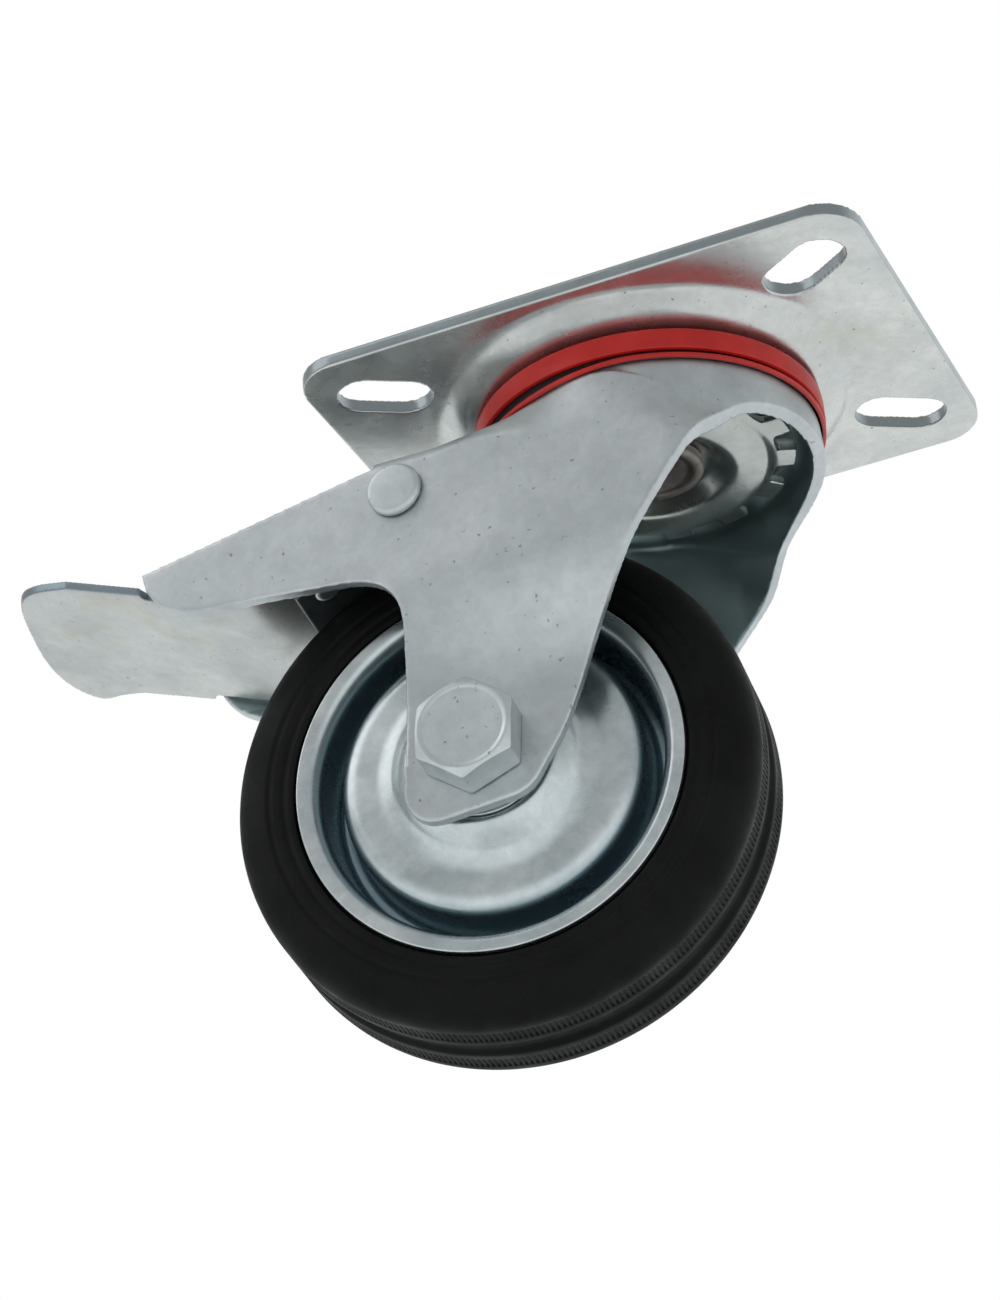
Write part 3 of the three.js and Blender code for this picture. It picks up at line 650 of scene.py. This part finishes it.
def make_fork():
    """The hollow pressing, cut to its side outline, with its holes, its ball groove and the leaf's notch."""
    fork = fork_block("fork_look", 0)
    combine(fork, crown_solid("crown", 0), "UNION")
    combine(fork, fork_block("inside", SHEET), "DIFFERENCE")
    combine(fork, crown_solid("crown_inside", SHEET), "DIFFERENCE")
    combine(fork, side_prism("outline", fork_outline(), -40, 40), "INTERSECT")
    open_top = [(-110, -19.8), (ROOF["end"], -25.2), (ROOF["end"], 25.2), (-110, 19.8)]
    combine(fork, prism("open_top", open_top, -40, -5), "DIFFERENCE")
    notch = rounded([(-65, -8.5), (-29.5, -8.5, 3), (-29.5, 8.5, 3), (-65, 8.5)], 0.1, 6)
    combine(fork, prism("notch", notch, -30.1, -17.9), "DIFFERENCE")
    bore = turned("bore", [(0, -5), (0, -16), (CROWN["bore"], -16), (CROWN["bore"], -5)])
    combine(fork, bore, "DIFFERENCE")
    ball_groove(fork, 3.4)
    combine(fork, rod("axle_hole", 6.2, -40, 40, *AXLE), "DIFFERENCE")
    combine(fork, rod("pin_hole", 2.8, -40, 40, *BRAKE_PIN), "DIFFERENCE")
    pressed(fork, 0.35, 5)
    finish_piece(fork, "fork", "fork", fork_zinc)


make_fork()

# ---------------------------------------------------------------- dust seal


def make_seal():
    """An upper band and a lower lip. The slit between them opens towards the rear, where the lip sags."""
    sag = 1.4
    profile = rounded([(29, -7.7), (34, -7.7, 0.7), (34, -12.15, 0.25), (32.8, -12.35, 0.1),
                       (32.9, -12.95, 0.1), (33.85, -13.15, 0.2), (33.85, -14, 0.3), (33.05, -14, 0.1),
                       (32.75, -12.6, 0.3), (31.5, -10.6, 0.8), (29, -10.05)], 0.2, 5)
    seal = turned("dust_seal_look", profile, 256)
    for vertex in seal.data.vertices:
        x, y, z = vertex.co / MM
        rear = smoothstep(-x / math.hypot(x, y), -0.15, 0.65)
        vertex.co.z -= sag * rear * smoothstep(-z, 12.5, 12.9) * MM
    finish_piece(seal, "fork", "dust_seal", seal_red)


make_seal()

# ---------------------------------------------------------------- axle


def hexagon(name, low, high, bore=0.0):
    """A hexagon prism along Z from its seat (low) to its outer end (high), which is dressed to a cone."""
    flats, slope = BOLT["flats"], math.tan(math.pi / 6)
    corner = flats / math.sqrt(3)
    face = 0.475 * flats
    outward = 1 if high > low else -1
    depth = abs(high - low)
    around = even_angles(240)

    def reach_at(angle, height, shrink):
        side = (angle - BOLT["turn"] + math.pi / 6) % (math.pi / 3) - math.pi / 6
        reach = flats / 2 / math.cos(side)
        reach -= 0.15 * (reach / corner) ** 30
        if shrink is not None:
            return reach - shrink
        cone = face + (depth - height) / slope
        return -0.08 * math.log(math.exp(-reach / 0.08) + math.exp(-cone / 0.08))

    levels = [(0.0, 0.15), (0.15, 0.0)] + [(h, 0.0) for h in np.linspace(0.6, depth - 1.6, 6)]
    levels += [(h, None) for h in np.linspace(depth - 1.5, depth, 24)]
    rows = []
    for height, shrink in levels:
        reaches = [(reach_at(angle, height, shrink), angle) for angle in around]
        rows.append([(r * math.cos(a), r * math.sin(a), low + outward * height) for r, a in reaches])
    last = rows[-1]
    for scale, drop in ((0.985, 0.0), (0.93, -0.02), (0.9, -0.18), (0.86, -0.2)):
        rows.append([(x * scale, y * scale, z + outward * drop) for x, y, z in last])
    if bore:
        lead = outward * 0.7
        for radius, z in ((bore + 0.7, high), (bore, high - lead), (bore, low + lead), (bore + 0.5, low)):
            rows.append([(radius * math.cos(a), radius * math.sin(a), z) for a in around])
        return closed_grid(name, rows)
    points = [p for row in rows for p in row]
    faces = ring_faces(len(rows), len(around), False)
    faces.append(tuple(range(len(around))))
    faces.append(tuple(range(len(points) - len(around), len(points))))
    return mesh_object(name, points, faces)


def make_axle():
    """The bolt, its nut, and the sleeve and washers between the legs."""
    seat = BOLT["seat"]
    head = to_axle(hexagon("axle_bolt_look", -seat, -seat - BOLT["head"]))
    shank = rod("shank", BOLT["radius"], -25.5, 37.2, *AXLE)
    combine(head, shank, "UNION")
    finish_piece(head, "fork", "axle_bolt", bolt_zinc)
    nut = to_axle(hexagon("axle_nut_look", seat, seat + BOLT["nut"], SLEEVE["bore"]))
    finish_piece(nut, "fork", "axle_nut", bolt_zinc)
    sleeve = tube("axle_sleeve_look", **SLEEVE, edge=0.25, segments=96)
    finish_piece(sleeve, "fork", "axle_sleeve", bolt_zinc)
    bore, outer, thickness = 7.6, 12, 1.3
    for label, low in (("near", -21.7), ("far", 20.4)):
        name = "axle_washer_" + label
        high = low + thickness
        ring = rounded([(bore, low), (outer, low), (outer, high), (bore, high)], 0.2, 4)
        washer = to_axle(turned(name + "_look", ring, 96))
        finish_piece(washer, "fork", name, bolt_zinc)


make_axle()

# ---------------------------------------------------------------- wheel


def rim_profile(side):
    """One pressed half, from the hub over the disc and down the channel to the flange, and back inside."""
    outside = [(12.7, 20, 0.3), (14.2, 20, 2), (16.4, 18, 1.4), (18, 15.8, 1.2), (20.8, 14.8, 1.2),
               (27, 14.4, 2), (28.9, 12.4, 1.2), (29.5, 2.4, 1.0), (32, 2.4, 1.0), (32.8, 13.2, 1.4),
               (34.4, 15.2, 1.0), (37.1, 15.2, 0.4)]
    inside = [(37.1, 13.7, 0.4), (34.6, 13.7, 1.0), (33.4, 2, 1.2), (32.4, 0.5, 0.5), (28.6, 0.5, 0.5),
              (27.3, 12.4, 1.4), (20.4, 13.3, 1.2), (16.8, 14.6, 1.2), (13.6, 18.5, 1.2), (12.7, 18.5, 0.3)]
    return [(r, side * y) for r, y in rounded(outside + inside, 0.5, 7)]


def tyre_profile():
    """The tyre's section: bead, side wall with two thin ribs, shoulder, and half of the tread's groove."""
    side = [(34, 0, 0), (34, 5, 0.3), (34.6, 13, 0.3), (35.2, 13.4, 0.3), (37.5, 13.4, 0.3),
            (37.7, 14.7, 0.3), (38.6, 15.0, 0.4), (39.4, 14.7, 0.3), (39.8, 14.7, 0.2), (40.3, 15.0, 0.4),
            (41.9, 15.0, 0.5), (42.3, 14.6, 0.2), (42.7, 14.6, 0.2), (43.2, 14.8, 0.4), (45, 14.3, 2),
            (47.4, 13.2, 2), (49, 11.6, 1.2)]
    half = rounded(side, 0.3, 4, closed=False)[1:] + [(49.6, 10.4), (49.9, 9.6), (50, 8.8)]
    half += [(50, y) for y in np.linspace(8.4, 2.6, 14)]
    half += [(49.8, 2.2), (49.3, 1.7), (49.1, 1.2), (49.1, 0.6)]
    return [(34, 0)] + half + [(49.1, 0)] + [(r, -y) for r, y in half[::-1]]


def make_tyre():
    """The tyre, ring by ring. Every third step of its two tread bands is cut, as fine serrations."""
    steps = even_angles(900)
    rows = []
    for r, y in tyre_profile():
        depth = 0.55 if 49.95 < r and 4.2 < abs(y) < 7.9 else 0.0
        cuts = [r - depth * (k % 3 == 0) for k in range(len(steps))]
        rows.append([(c * math.cos(angle), c * math.sin(angle), y) for c, angle in zip(cuts, steps)])
    tyre = to_axle(closed_grid("tyre_look", rows))
    finish_piece(tyre, "wheel", "tyre", tyre_black)


def make_rim():
    """The two pressed halves and the hub tube between them."""
    for label, side in (("near", -1), ("far", 1)):
        rim = to_axle(turned("rim_" + label + "_look", rim_profile(side), 256))
        finish_piece(rim, "wheel", "rim_" + label, rim_zinc)
    hub = tube("hub_tube_look", **HUB, edge=0.3, segments=128)
    finish_piece(hub, "wheel", "hub_tube", bolt_zinc)


make_tyre()
make_rim()

# ---------------------------------------------------------------- balls and rollers


def make_ball(name, body, x, y, z, radius):
    angles = np.linspace(-math.pi / 2, math.pi / 2, 25)
    rows = [(radius * math.cos(a), z + radius * math.sin(a)) for a in angles]
    rows[0], rows[-1] = (0, rows[0][1]), (0, rows[-1][1])
    made = turned(name + "_look", rows, 40)
    made.data.transform(moved(x, y, 0))
    finish_piece(made, body, name, bearing)


def make_rings():
    """Two rings of balls in the head, and the rollers in the hub."""
    for label, ring in (("upper", UPPER_BALLS), ("lower", LOWER_BALLS)):
        for i, angle in enumerate(even_angles(RING_COUNT)):
            x, y = ring["circle"] * math.cos(angle), ring["circle"] * math.sin(angle)
            make_ball(f"{label}_ball_{i + 1}", label + "_balls", x, y, ring["height"], ring["radius"])
    half = ROLLERS["half"]
    for i, angle in enumerate(even_angles(RING_COUNT)):
        place = axle_spot(ROLLERS["circle"], angle)
        roller = rod(f"roller_{i + 1}_look", ROLLERS["radius"], -half, half, *place, segments=32)
        finish_piece(roller, "rollers", f"roller_{i + 1}", bearing)


make_rings()

# ---------------------------------------------------------------- brake

PEDAL = dict(sheet=2, neck=20, half=22, slope=-0.34, level=-67, tip=-130)

# The two rivets: their place across, and how far round the shoe they stand.
RIVET_SIDE = 13.8
RIVET_LINE = math.radians(24)


def about_pin(point, angle):
    """X and Z of a point turned about the brake pin."""
    dx, dz = point[0] - BRAKE_PIN[0], point[1] - BRAKE_PIN[1]
    return (BRAKE_PIN[0] + dx * math.cos(angle) - dz * math.sin(angle),
            BRAKE_PIN[1] + dx * math.sin(angle) + dz * math.cos(angle))


# Where the axle seems to be, seen from the released pedal: the shoe is round it once the pedal is pressed.
SHOE_CENTRE = about_pin(AXLE, -STROKE)


def on_shoe(radius, degrees):
    """X and Z of a point about the shoe's centre, in degrees back from straight up."""
    angle = math.radians(90 + degrees)
    return (SHOE_CENTRE[0] + radius * math.cos(angle), SHOE_CENTRE[1] + radius * math.sin(angle))


def shoe_arc(radius, start, end, steps=24):
    return [on_shoe(radius, d) for d in np.linspace(start, end, steps)]


def strip(points, thickness):
    """A strip of sheet along a centreline."""
    sides = ([], [])
    for i, point in enumerate(points):
        before, after = np.array(points[max(i - 1, 0)]), np.array(points[min(i + 1, len(points) - 1)])
        along = (after - before) / np.linalg.norm(after - before)
        across = np.array((-along[1], along[0])) * thickness / 2
        sides[0].append(tuple(np.array(point) + across))
        sides[1].append(tuple(np.array(point) - across))
    return sides[0] + sides[1][::-1]


def pedal_plan():
    """The pedal from above: a neck between the arms, then the foot's pad with its turned-out corner."""
    neck, half, tip = PEDAL["neck"], PEDAL["half"], PEDAL["tip"]
    near = [(-40, -neck), (-96.8, -neck), (-98, -half)]
    pad = spline([(-113, -half), (-121, -18.4), (-125.6, -12.4), (tip + 1.6, 0), (tip, 14), (-128.3, 23),
                  (-123.6, 27.2), (-118, 24.4), (-112.5, half + 0.2)], 10)
    return near + pad + [(-98, half), (-96.8, neck), (-40, neck)]


ARM_LEAN = math.atan(CHEEK["taper"])


def arm_half():
    """Half the fork's outer width at the brake pin."""
    return float(cheek_half(*BRAKE_PIN))


def to_rivet_line(obj, y):
    """Turns a piece drawn along Z onto the line of a rivet, heights counted from the shoe's centre."""
    place = moved(SHOE_CENTRE[0], y, SHOE_CENTRE[1])
    obj.data.transform(place @ Matrix.Rotation(-RIVET_LINE, 4, "Y"))
    return obj


def rivet_holes(obj):
    radius = 1.9
    for y in (-RIVET_SIDE, RIVET_SIDE):
        bar = turned("bar", [(0, 43), (0, 63), (radius, 63), (radius, 43)], 32)
        combine(obj, to_rivet_line(bar, y), "DIFFERENCE")


def make_pedal():
    """One sheet: the pad, a part curved over the shoe, and an ear inside each arm of the fork."""
    def pad(x):
        return (x, PEDAL["level"] + PEDAL["slope"] * x)

    over = 53.6
    line = [pad(-133), pad(-108)] + bezier([pad(-82.5), pad(-76.6), on_shoe(over, 30.5)], 16)
    line += shoe_arc(over, 29, 10)
    pedal = side_prism("brake_pedal_look", strip(line, PEDAL["sheet"]), -30, 30)
    combine(pedal, prism("plan", pedal_plan(), -60, 0), "INTERSECT")
    ear = [(-89, -36.2), (-84, -32.2), (-50, -24.8)] + arc(BRAKE_PIN, 4.2, 110, -60, 24)
    ear += [(-52, -31.4), (-70.5, -37.4), (-77, -41)]
    ear = [(x - BRAKE_PIN[0], z) for x, z in ear]
    half_sheet = PEDAL["sheet"] / 2
    middle = arm_half() - SHEET - half_sheet - 0.5
    for side in (-1, 1):
        flank = side_prism("ear", ear, -half_sheet, half_sheet)
        flank.data.transform(moved(BRAKE_PIN[0], side * middle, 0) @ Matrix.Rotation(side * ARM_LEAN, 4, "Z"))
        combine(pedal, flank, "UNION")
    combine(pedal, rod("pin_hole", 2.9, -30, 30, *BRAKE_PIN), "DIFFERENCE")
    rivet_holes(pedal)
    pressed(pedal, 0.33, 2)
    finish_piece(pedal, "brake", "brake_pedal", pedal_zinc)


def make_shoe_and_leaf():
    """The shoe under the pedal, the leaf over it with its lock tooth, and the rivets through all three."""
    shoe = side_prism("brake_shoe_look", strip(shoe_arc(51.35, 31, 13), 1.9), -17, 17)
    over = 55.5
    line = shoe_arc(over, 22, 13, 8) + bezier([on_shoe(over, 12), (-47.5, -24.0), (-40, -23.2)], 12)
    line += [(-30.5, -22.2), (-27.4, -21.9)]
    leaf = side_prism("lock_leaf_look", strip(line, 1.2), -6, 6)
    combine(leaf, side_prism("leaf_foot", strip(shoe_arc(over, 27, 20, 8), 1.2), -17, 17), "UNION")
    tooth = [(-27.65, -22.5), (-26.35, -22.5), (-26.35, -20.1), (-27.65, -20.1)]
    combine(leaf, side_prism("tooth", tooth, -2.3, 2.3), "UNION")
    for made, name in ((shoe, "brake_shoe"), (leaf, "lock_leaf")):
        rivet_holes(made)
        pressed(made, 0.28, 3)
        finish_piece(made, "brake", name, dark_steel)
    profile = rounded([(0, 49.4), (2, 49.4, 0.6), (2.8, 50.1, 0.3), (1.6, 50.1, 0.05), (1.6, 56.4, 0.05),
                       (2.8, 56.4, 0.3), (2, 57.1, 0.6), (0, 57.1)], 0.1, 5, closed=False)
    for label, y in (("near", -RIVET_SIDE), ("far", RIVET_SIDE)):
        rivet = to_rivet_line(turned("shoe_rivet_" + label + "_look", profile, 48), y)
        finish_piece(rivet, "brake", "shoe_rivet_" + label, bolt_zinc)


def make_pin():
    """The pin through both arms, with a flat round head lying on each arm's slanted face."""
    reach = arm_half() + 0.3
    pin = rod("brake_pin_look", 2.5, -reach - 0.6, reach + 0.6, *BRAKE_PIN)
    profile = [(0, 0), (5.4, 0, 0.1), (5.4, 0.6, 0.3), (4.9, 1.3, 0.6), (0, 1.45)]
    profile = rounded(profile, 0.1, 8, closed=False)
    for side in (-1, 1):
        head = turned("head", profile, 96)
        place = moved(BRAKE_PIN[0], side * (reach + 0.2), BRAKE_PIN[1])
        turn = Matrix.Rotation(side * ARM_LEAN, 4, "Z") @ Matrix.Rotation(-side * math.pi / 2, 4, "X")
        head.data.transform(place @ turn)
        combine(pin, head, "UNION")
    finish_piece(pin, "fork", "brake_pin", bolt_zinc)


make_pedal()
make_shoe_and_leaf()
make_pin()

# ---------------------------------------------------------------- pieces shown as the CAD made them

kept = {"upper_ball_cage": dark_steel, "lower_ball_cage": dark_steel, "roller_cage": dark_steel,
        "return_spring": bearing}
for name, look in kept.items():
    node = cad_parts[name]
    node.data.materials.clear()
    node.data.materials.append(look)

# ---------------------------------------------------------------- stage, light and camera


def make_floor():
    """A pale floor just under the wheel. From below, and in reflections, it is clear."""
    mesh = bpy.data.meshes.new("floor")
    reach, level = 3.0, -132.2 * MM
    corners = [(-reach, -reach), (reach, -reach), (reach, reach), (-reach, reach)]
    mesh.from_pydata([(x, y, level) for x, y in corners], [], [(0, 1, 2, 3)])
    floor = link("floor", mesh)
    look = Look("floor")
    clouds = look.noise(6, 3, 0.5)
    colour = look.mix(look.ramp(clouds, 0.3, 0.7), (0.80, 0.80, 0.80), (0.84, 0.84, 0.84))
    look.set(Base_Color=colour, Roughness=0.8)
    clear = look.add("ShaderNodeBsdfTransparent").outputs[0]
    under = look.add("ShaderNodeNewGeometry").outputs["Backfacing"]
    mirrored = look.add("ShaderNodeLightPath").outputs["Is Glossy Ray"]
    through = look.maths("MAXIMUM", under, mirrored)
    sides = look.add("ShaderNodeMixShader", {0: through, 1: look.shader.outputs[0], 2: clear})
    output = next(n for n in look.tree.nodes if n.type == "OUTPUT_MATERIAL")
    look.tree.links.new(sides.outputs[0], output.inputs["Surface"])
    mesh.materials.append(look.material)


def make_world():
    """White to the camera. To all else, a white sweep behind and below, and a grey room in front that is
    brighter low down."""
    world = bpy.data.worlds.new("studio")
    bpy.context.scene.world = world
    world.use_nodes = True
    tree = world.node_tree
    tree.nodes.clear()

    def add(kind, **settings):
        node = tree.nodes.new(kind)
        for key, value in settings.items():
            setattr(node, key, value)
        return node

    def ease(value, low, high, out_low=0.0, out_high=1.0):
        node = add("ShaderNodeMapRange", interpolation_type="SMOOTHSTEP")
        tree.links.new(value, node.inputs["Value"])
        for key, number in (("From Min", low), ("From Max", high), ("To Min", out_low), ("To Max", out_high)):
            node.inputs[key].default_value = number
        return node.outputs[0]

    def maths(operation, a, b):
        node = add("ShaderNodeMath", operation=operation)
        for socket, value in zip(node.inputs, (a, b)):
            if isinstance(value, bpy.types.NodeSocket):
                tree.links.new(value, socket)
            else:
                socket.default_value = value
        return node.outputs[0]

    apart = add("ShaderNodeSeparateXYZ")
    tree.links.new(add("ShaderNodeTexCoord").outputs["Generated"], apart.inputs[0])
    across, along, up = apart.outputs
    away = maths("ADD", maths("MULTIPLY", across, 0.25), maths("MULTIPLY", along, 0.9))
    behind = ease(maths("SUBTRACT", away, maths("MULTIPLY", up, 0.35)), -0.15, 0.55)
    front = maths("MULTIPLY", ease(up, -0.23, 0.35, 0.97, 0.49), ease(up, -1.0, -0.75, 0.6, 1.0))
    strength = maths("ADD", front, maths("MULTIPLY", behind, maths("SUBTRACT", 1.0, front)))
    studio = add("ShaderNodeBackground")
    studio.inputs["Color"].default_value = (0.95, 0.985, 1.0, 1)
    tree.links.new(strength, studio.inputs["Strength"])
    white = add("ShaderNodeBackground")
    white.inputs["Color"].default_value = (1, 1, 1, 1)
    choose = add("ShaderNodeMixShader")
    tree.links.new(add("ShaderNodeLightPath").outputs["Is Camera Ray"], choose.inputs[0])
    tree.links.new(studio.outputs[0], choose.inputs[1])
    tree.links.new(white.outputs[0], choose.inputs[2])
    tree.links.new(choose.outputs[0], add("ShaderNodeOutputWorld").inputs["Surface"])


def make_key_light():
    """One soft light, high in front and to the left."""
    data = bpy.data.lights.new("key", "AREA")
    data.shape = "RECTANGLE"
    data.size = data.size_y = 0.9
    data.energy = 2.2
    light = bpy.data.objects.new("key", data)
    bpy.context.scene.collection.objects.link(light)
    light.location = Vector((-0.75, -0.6, 0.8))
    light.rotation_euler = (Vector((-0.02, 0, -0.05)) - light.location).to_track_quat("-Z", "Y").to_euler()


def make_camera():
    """The camera where the photo's stood: below the castor, looking up at it."""
    data = bpy.data.cameras.new("camera")
    data.lens = 111.5
    data.sensor_width = 36
    data.clip_end = 20
    camera = bpy.data.objects.new("camera", data)
    bpy.context.scene.collection.objects.link(camera)
    azimuth, elevation, roll = math.radians(20.73), math.radians(29.55), math.radians(-5.31)
    turn = (Matrix.Rotation(azimuth, 4, "Z") @ Matrix.Rotation(math.pi / 2 + elevation, 4, "X")
            @ Matrix.Rotation(roll, 4, "Z"))
    camera.matrix_world = Matrix.Translation((0.20267, -0.62807, -0.42790)) @ turn
    bpy.context.scene.camera = camera


make_floor()
make_world()
make_key_light()
make_camera()
bpy.context.scene.view_settings.view_transform = "Standard"
